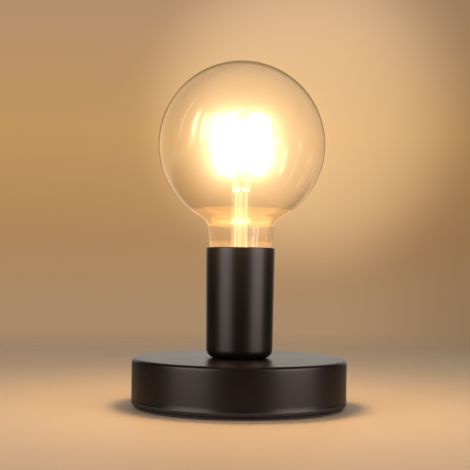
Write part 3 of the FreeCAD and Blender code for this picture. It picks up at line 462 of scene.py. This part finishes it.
# ---- globe: blown glass, 0.8 mm thick
G, GZ, GW, NR, NF = 47.5, 149.0, 0.8, 18.8, 7.5
NL = 17.75
fcx = NR + NF
fcz = GZ - math.sqrt((G + NF) ** 2 - fcx ** 2)
flare = math.degrees(math.atan2(GZ - fcz, fcx))          # tilt of the line from globe to flare centre


def globe_outline(off, n_ball, n_flare):
    """Neck, flare and ball from the neck's lower end to the pole, moved in by off."""
    pts = line((NL - off, 90.6), (NR - off, fcz), 6)
    pts += arc(fcx, fcz, NF + off, 180, 180 - flare, n_flare)
    pts += arc(0, GZ, G - off, -flare, 90, n_ball)[1:-1]
    return pts + [(0, GZ + G - off)]


outer = [(12.2, 82.5), (12.2, 85.6)] + arc(NL - 4.4, 90.6, 4.4, -97, 0, 12) + globe_outline(0, 110, 22)
inner = [(11.4, 82.5), (11.4, 86.4)] + arc(NL - 4.4, 90.6, 3.6, -97, 0, 12) + globe_outline(GW, 110, 22)
globe = lathe("globe_glass", outer + inner[::-1], MATS["clear_glass"], 224, sharp=50)
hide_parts("glass_envelope")
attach(globe, "bulb")


# ---- stem: trumpet foot, tube, flattened press
def stem_shape(r, z, a):
    """Round below 122.6 mm, then flattening to the press; the ring's radius is r."""
    t = min(1.0, max(0.0, (z - 122.6) / 3.6))
    t = t * t * (3 - 2 * t)
    k = r / 5.45
    sx, sy = 5.45 + (5.2 - 5.45) * t, 5.45 + (2.5 - 5.45) * t
    e = 2.0 + 1.6 * t
    c, s = math.cos(a), math.sin(a)
    m = (abs(c) ** e + abs(s) ** e) ** (-1 / e)
    return k * sx * m * c, k * sy * m * s


outer = [(11.3, 83.0), (11.3, 83.8)]
outer += [(5.45 + 5.6 * math.exp(-(z - 84.0) / 2.6), z) for z in (84.6, 85.4, 86.4, 87.6, 89.0, 90.6, 92.4, 94.5, 97.0)]
outer += [(5.45, z) for z in (100, 104, 108, 112, 116, 119, 121, 122.2, 122.6, 123.1, 123.6, 124.1, 124.6, 125.1, 125.6, 126.2, 127, 128)]
outer += [(5.45, 128.6), (5.25, 129.2), (4.75, 129.6), (3.8, 129.8), (2.0, 129.8), (0, 129.8)]
inner = [(10.2, 83.0), (10.2, 83.9)]
inner += [(4.45 + 5.3 * math.exp(-(z - 84.2) / 2.6), z) for z in (84.8, 85.6, 86.6, 87.8, 89.2, 90.8, 92.6, 94.7, 97.0)]
inner += [(4.45, z) for z in (100, 104, 108, 112, 116, 119, 120.6)]
inner += arc(1.95, 121.0, 2.5, 0, 90, 8)[1:] + [(0.9, 123.55), (0, 123.6)]
stem = lathe("stem_glass", outer + inner[::-1], MATS["stem_glass"], 96, stem_shape, sharp=60)
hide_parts("glass_stem")
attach(stem, "bulb")

# ---- sealed exhaust tube inside the stem
outer = [(0, 82.6), (0.9, 82.8), (1.6, 83.5), (1.8, 84.5), (1.8, 88), (1.8, 96), (1.8, 104), (1.8, 112), (1.8, 122.4)]
inner = [(1.2, 122.4), (1.2, 112), (1.2, 104), (1.2, 96), (1.2, 88), (1.2, 85.4), (0.8, 84.4), (0, 84.0)]
tube = lathe("exhaust_glass", outer + inner, MATS["stem_glass"], 48, sharp=60)
tube.data.transform(Matrix.Translation((-0.0002, 0, 0)))
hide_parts("exhaust_tube")
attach(tube, "bulb")

# ---- six LED filaments: thin rods with rounded ends on a twisted cage
def rod_between(p0, p1, r, mat_segs=24, caps=5):
    """Vertices and faces of a rod with domed ends, in millimetres."""
    d = (p1 - p0)
    length = d.length
    d.normalize()
    x = d.cross(Vector((0.3, 0.2, 1))).normalized()
    y = d.cross(x)
    rows = [(0.0, 0.0)]
    rows += [(r - r * math.cos(math.pi / 2 * i / caps), r * math.sin(math.pi / 2 * i / caps)) for i in range(1, caps + 1)]
    rows += [(r + (length - 2 * r) * i / 14, r) for i in range(1, 14)]
    rows += [(length - rows[i][0], rows[i][1]) for i in range(caps, -1, -1)]
    verts, faces, rings = [], [], []
    for along, rad in rows:
        c = p0 + d * along
        if rad < 1e-9:
            rings.append([len(verts)])
            verts.append(c)
        else:
            rings.append(list(range(len(verts), len(verts) + mat_segs)))
            verts += [c + x * (rad * math.cos(TAU * k / mat_segs)) + y * (rad * math.sin(TAU * k / mat_segs))
                      for k in range(mat_segs)]
    for a, b in zip(rings, rings[1:]):
        for k in range(mat_segs):
            j = (k + 1) % mat_segs
            if len(a) == 1:
                faces.append((a[0], b[j], b[k]))
            elif len(b) == 1:
                faces.append((a[k], a[j], b[0]))
            else:
                faces.append((a[k], a[j], b[j], b[k]))
    return verts, faces


def polar(r, deg, z):
    a = math.radians(deg)
    return Vector((r * math.cos(a), r * math.sin(a), z))


verts, faces = [], []
for a in range(0, 360, 60):
    p0, p1 = polar(12.8, a - 10, 131.7), polar(14.5, a + 10, 165.5)
    d = (p1 - p0).normalized()
    v, f = rod_between(p0 + d * 1.0, p1 - d * 1.0, 0.95)
    faces += [tuple(i + len(verts) for i in g) for g in f]
    verts += [tuple(c * MM) for c in v]
mesh = bpy.data.meshes.new("filament_rods")
mesh.from_pydata(verts, [], faces)
finish_mesh(mesh, 60)
fils = link("filament_rods", mesh, MATS["led_phosphor"])
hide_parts("led_filaments")
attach(fils, "bulb")

# ---- bulb cap: rolled sheet with a round helical thread
PITCH = 3.629
Z0 = 63.2 + 3.6 + PITCH / 2


def thread(z, a, lo, hi):
    """Height of the rolled thread from 0 to 1."""
    turn = ((z - Z0) / PITCH - a / TAU) % 1.0
    wave = 0.5 + 0.5 * math.cos(TAU * turn)
    fade = min(1.0, max(0.0, (z - lo) / 1.8)) * min(1.0, max(0.0, (hi - z) / 1.8))
    return wave * fade


def cap_rows(off):
    rows = [(11.0 + off * 0.2, 63.3), (11.4, 63.2 + off)]
    rows += arc(10.6, 66.2, 1.5, -50, 0, 6)
    z = 66.4
    while z < 80.9:
        rows.append((12.1, z))
        z += 0.18
    rows += [(12.15, 81.1), (12.5, 81.5), (12.95, 81.8), (13.2, 82.2), (13.25, 83.0), (13.28, 84.0), (13.3, 84.7), (13.25, 85.0)]
    return rows


def cap_shape(off):
    def f(r, z, a):
        if 66.0 < z < 81.0:
            r = r + 1.0 * thread(z, a, 66.2, 80.8)
        return (r - off) * math.cos(a), (r - off) * math.sin(a)
    return f


segs = 144
verts, faces = [], []
rows_o = cap_rows(0)
rows_i = [(r, z) for r, z in cap_rows(0)]
fo, fi = cap_shape(0.0), cap_shape(0.3)
rings = []
for r, z in rows_o:
    rings.append(list(range(len(verts), len(verts) + segs)))
    verts += [(*[c * MM for c in fo(r, z, TAU * k / segs)], z * MM) for k in range(segs)]
for r, z in rows_i[::-1]:
    rings.append(list(range(len(verts), len(verts) + segs)))
    verts += [(*[c * MM for c in fi(r, z, TAU * k / segs)], (z + 0.12 if z < 64 else z - (0.05 if z > 84.9 else 0)) * MM) for k in range(segs)]
for i in range(len(rings)):
    a, b = rings[i], rings[(i + 1) % len(rings)]
    for k in range(segs):
        j = (k + 1) % segs
        faces.append((a[k], a[j], b[j], b[k]))
mesh = bpy.data.meshes.new("cap_thread")
mesh.from_pydata(verts, [], faces)
finish_mesh(mesh, 50)
cap = link("cap_thread", mesh, MATS["nickel_cap"])
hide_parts("cap_shell")
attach(cap, "bulb")

# ------------------------------------------------------------------ stage
# pale floor, a disc that fades into the plain surroundings
mesh = bpy.data.meshes.new("floor")
bm = bmesh.new()
bmesh.ops.create_circle(bm, cap_ends=True, segments=96, radius=1.4)
bm.to_mesh(mesh)
bm.free()
mat, t = new_mat("floor_paper")
co = t.n("ShaderNodeTexCoord").outputs["Object"]
p = principled(t, 0.6, 0.0, 0.25)
path = t.n("ShaderNodeLightPath")
paper = t.mix(t.remap(t.noise(co, 3.0, 3.0), 0.3, 0.7, 0, 1), (0.50, 0.395, 0.27), (0.54, 0.43, 0.30))
t.link(t.mix(path.outputs["Is Camera Ray"], (0.23, 0.18, 0.14), paper), p.inputs["Base Color"])
t.link(t.bump(t.noise(co, 900.0, 2.0), 0.15, 0.0002), p.inputs["Normal"])
far = t.n("ShaderNodeVectorMath", operation="LENGTH")
t.link(co, far.inputs[0])
clear = t.n("ShaderNodeBsdfTransparent")
fade = t.n("ShaderNodeMixShader")
edge = t.n("ShaderNodeMapRange", interpolation_type="SMOOTHERSTEP")
edge.inputs["From Min"].default_value = 0.10
edge.inputs["From Max"].default_value = 0.88
t.link(far.outputs["Value"], edge.inputs["Value"])
t.link(edge.outputs["Result"], fade.inputs[0])
t.link(p.outputs[0], fade.inputs[1])
t.link(clear.outputs[0], fade.inputs[2])
t.link(fade.outputs[0], [n for n in t.t.nodes if n.type == "OUTPUT_MATERIAL"][0].inputs["Surface"])
floor = link("floor", mesh, mat)

# ------------------------------------------------------------------ world
world = bpy.data.worlds.new("studio")
scene.world = world
world.use_nodes = True
t = Tree(world.node_tree)
co = t.n("ShaderNodeTexCoord").outputs["Generated"]
sep = t.n("ShaderNodeSeparateXYZ")
t.link(co, sep.inputs[0])
height = t.remap(sep.outputs["Z"], -0.4, 0.8, 0, 1)
seen = t.ramp(height, [(0.0, (0.38, 0.27, 0.17)), (0.30, (0.40, 0.255, 0.14)), (0.36, (0.43, 0.24, 0.105)),
                       (0.44, (0.54, 0.30, 0.115)), (0.53, (0.46, 0.28, 0.15)), (0.80, (0.17, 0.11, 0.055)),
                       (1.0, (0.12, 0.08, 0.045))])
# a soft pool of light on the backdrop, a little to the right
aim = t.n("ShaderNodeVectorMath", operation="DOT_PRODUCT")
t.link(co, aim.inputs[0])
aim.inputs[1].default_value = Vector((0.062, 1.0, 0.15)).normalized()
pool = t.n("ShaderNodeMapRange", interpolation_type="SMOOTHERSTEP")
pool.inputs["From Min"].default_value = 0.9845
pool.inputs["From Max"].default_value = 1.0
t.link(aim.outputs["Value"], pool.inputs["Value"])
add = t.n("ShaderNodeVectorMath", operation="MULTIPLY_ADD")
t.link(pool.outputs["Result"], add.inputs[0])
add.inputs[1].default_value = (0.28, 0.20, 0.115)
t.link(seen, add.inputs[2])
# and less of it at the right
shade = t.n("ShaderNodeMapRange", interpolation_type="SMOOTHSTEP")
for k, v in (("From Min", 0.07), ("From Max", 0.24), ("To Min", 1.0), ("To Max", 0.70)):
    shade.inputs[k].default_value = v
t.link(sep.outputs["X"], shade.inputs["Value"])
less = t.n("ShaderNodeVectorMath", operation="SCALE")
t.link(add.outputs[0], less.inputs[0])
t.link(shade.outputs["Result"], less.inputs["Scale"])
seen = less.outputs[0]
# what gloss mirrors: a dim room in front, a pale wall behind that ends above
wall = t.remap(sep.outputs["Y"], 0.70, 0.97, 0.0, 1.0)
low = t.math("MULTIPLY", t.remap(sep.outputs["Z"], 0.25, 0.65, 1.0, 0.25), t.remap(sep.outputs["Z"], 0.0, 0.08, 0.42, 1.0))
back = t.math("ADD", t.math("MULTIPLY", t.math("MULTIPLY", wall, low), 0.95), 0.012)
dim = t.n("ShaderNodeCombineColor")
for i, k in enumerate((1.0, 0.92, 0.82)):
    t.link(t.math("MULTIPLY", back, k), dim.inputs[i])
path = t.n("ShaderNodeLightPath")
direct = t.math("MAXIMUM", path.outputs["Is Camera Ray"], path.outputs["Is Transmission Ray"])
# a perfect mirror, which only the clear glass is, shows a brighter room to the left
mirror = t.math("MULTIPLY", path.outputs["Is Singular Ray"], path.outputs["Is Reflection Ray"])
room = t.ramp(t.remap(sep.outputs["X"], -1, 1, 0, 1), [(0.0, (1.20, 0.86, 0.44)), (0.5, (1.0, 0.72, 0.42)), (1.0, (0.80, 0.56, 0.31))])
rim = t.n("ShaderNodeMapRange", interpolation_type="SMOOTHSTEP")
rim.inputs["From Min"].default_value = 0.90
rim.inputs["From Max"].default_value = 0.99
t.link(t.math("ADD", sep.outputs["Y"], t.math("MULTIPLY", sep.outputs["Z"], 0.3)), rim.inputs["Value"])
room = t.mix(rim.outputs["Result"], room, (0.23, 0.165, 0.075))
bg = t.n("ShaderNodeBackground")
t.link(t.mix(direct, t.mix(mirror, dim.outputs[0], room), seen), bg.inputs["Color"])
out = t.n("ShaderNodeOutputWorld")
t.link(bg.outputs[0], out.inputs["Surface"])


# ------------------------------------------------------------------ lights
def area(name, loc, aim, size, size_y, power, colour, edge=None, mirrored=False):
    """A soft box. edge is the share of its width and height over which it fades. A mirrored one
    is only for what glass mirrors, and doesn't show straight through the glass."""
    data = bpy.data.lights.new(name, "AREA")
    data.shape = "RECTANGLE"
    data.size, data.size_y = size, size_y
    data.energy = power
    data.color = colour
    data.use_nodes = True
    t = Tree(data.node_tree)
    level = 1.0
    if mirrored:
        path = t.n("ShaderNodeLightPath")
        level = t.math("GREATER_THAN", path.outputs["Glossy Depth"], 0.5)
    if edge:
        sep = t.n("ShaderNodeSeparateXYZ")
        t.link(t.n("ShaderNodeNewGeometry").outputs["Parametric"], sep.inputs[0])
        for axis, wide in zip("XY", edge):
            n = t.n("ShaderNodeMapRange", interpolation_type="SMOOTHSTEP")
            n.inputs["From Max"].default_value = wide
            t.link(t.math("PINGPONG", sep.outputs[axis], 0.5), n.inputs["Value"])
            level = t.math("MULTIPLY", n.outputs["Result"], level)
    e = t.n("ShaderNodeEmission")
    if level == 1.0:
        e.inputs["Strength"].default_value = 1.0
    else:
        t.link(level, e.inputs["Strength"])
    t.link(e.outputs[0], t.n("ShaderNodeOutputLight").inputs["Surface"])
    obj = bpy.data.objects.new(name, data)
    scene.collection.objects.link(obj)
    obj.location = loc
    obj.rotation_mode = "QUATERNION"
    obj.rotation_quaternion = (Vector(aim) - Vector(loc)).to_track_quat("-Z", "Y")
    obj.visible_camera = False
    # the clear glass mirrors only the mirrored ones, and the rest of the lamp only the others
    obj.light_linking.receiver_collection = just_glass if mirrored else no_glass
    return obj


just_glass = bpy.data.collections.new("just_glass")
no_glass = bpy.data.collections.new("no_glass")
for group in (just_glass, no_glass):
    for obj in (globe, stem, tube):
        group.objects.link(obj)
for member in no_glass.collection_objects:
    member.light_linking.link_state = "EXCLUDE"


def around(deg, dist, z):
    """A place at that angle from the front, positive to the right."""
    a = math.radians(deg)
    return (dist * math.sin(a), -dist * math.cos(a), z)


area("soft_left", around(-50, 0.95, 0.31), (0, 0, 0.10), 1.00, 0.86, 11.4, (1.0, 0.82, 0.78), (0.25, 0.2))
area("soft_right", around(60, 0.95, 0.31), (0, 0, 0.10), 1.04, 0.86, 13.0, (1.0, 0.82, 0.78), (0.25, 0.2))
# tall strips that the globe mirrors as crescents beside the filaments, and low ones for its neck
for name, deg, z, wide, tall, power in (("strip_a", -92, 0.70, 0.09, 1.30, 0.60), ("strip_b", -68, 0.50, 0.26, 0.98, 4.4),
                                        ("strip_c", -50, 0.42, 0.42, 0.85, 5.0), ("strip_d", 47, 0.13, 0.24, 0.22, 0.75),
                                        ("strip_e", 84, 0.13, 0.20, 0.22, 0.25), ("strip_f", -56, 0.50, 0.035, 0.95, 0.65)):
    area(name, around(deg, 0.95, z), (0, 0, z), wide, tall, power, (1.0, 0.88, 0.74), (0.5, 0.4), mirrored=True)
top = area("soft_top", (0, 0.15, 1.3), (0, 0, 0), 1.2, 1.2, 5.0, (1.0, 0.92, 0.80))
top.visible_glossy = False
top.visible_transmission = False

# the lit filaments' light, as one soft ball in the middle of the globe
data = bpy.data.lights.new("bulb_light", "POINT")
data.energy = 2.3
data.shadow_soft_size = 0.035
data.color = (1.0, 0.66, 0.34)
glow = bpy.data.objects.new("bulb_light", data)
scene.collection.objects.link(glow)
glow.location = (0, 0, 0.1495)
glow.visible_camera = False
glow.visible_glossy = False
glow.visible_transmission = False
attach(glow, "bulb")

# ------------------------------------------------------------------ picture
scene.view_settings.view_transform = "Standard"
scene.view_settings.look = "None"
scene.view_settings.exposure = 0.0
scene.cycles.transmission_bounces = 20
scene.cycles.max_bounces = 24
scene.cycles.transparent_max_bounces = 24
scene.cycles.glossy_bounces = 8
scene.cycles.sample_clamp_indirect = 0.0
scene.cycles.caustics_reflective = False
scene.cycles.caustics_refractive = False

# bloom of the over-exposed filaments
scene.use_nodes = True
ct = scene.node_tree
ct.nodes.clear()
rl = ct.nodes.new("CompositorNodeRLayers")
glare = ct.nodes.new("CompositorNodeGlare")
glare.glare_type = "FOG_GLOW"
glare.quality = "HIGH"
glare.inputs["Threshold"].default_value = 1.0
glare.inputs["Smoothness"].default_value = 0.1
glare.inputs["Maximum"].default_value = 1000.0
glare.inputs["Strength"].default_value = 0.25
glare.inputs["Size"].default_value = 1.0
comp = ct.nodes.new("CompositorNodeComposite")
ct.links.new(rl.outputs["Image"], glare.inputs["Image"])
ct.links.new(glare.outputs["Image"], comp.inputs["Image"])
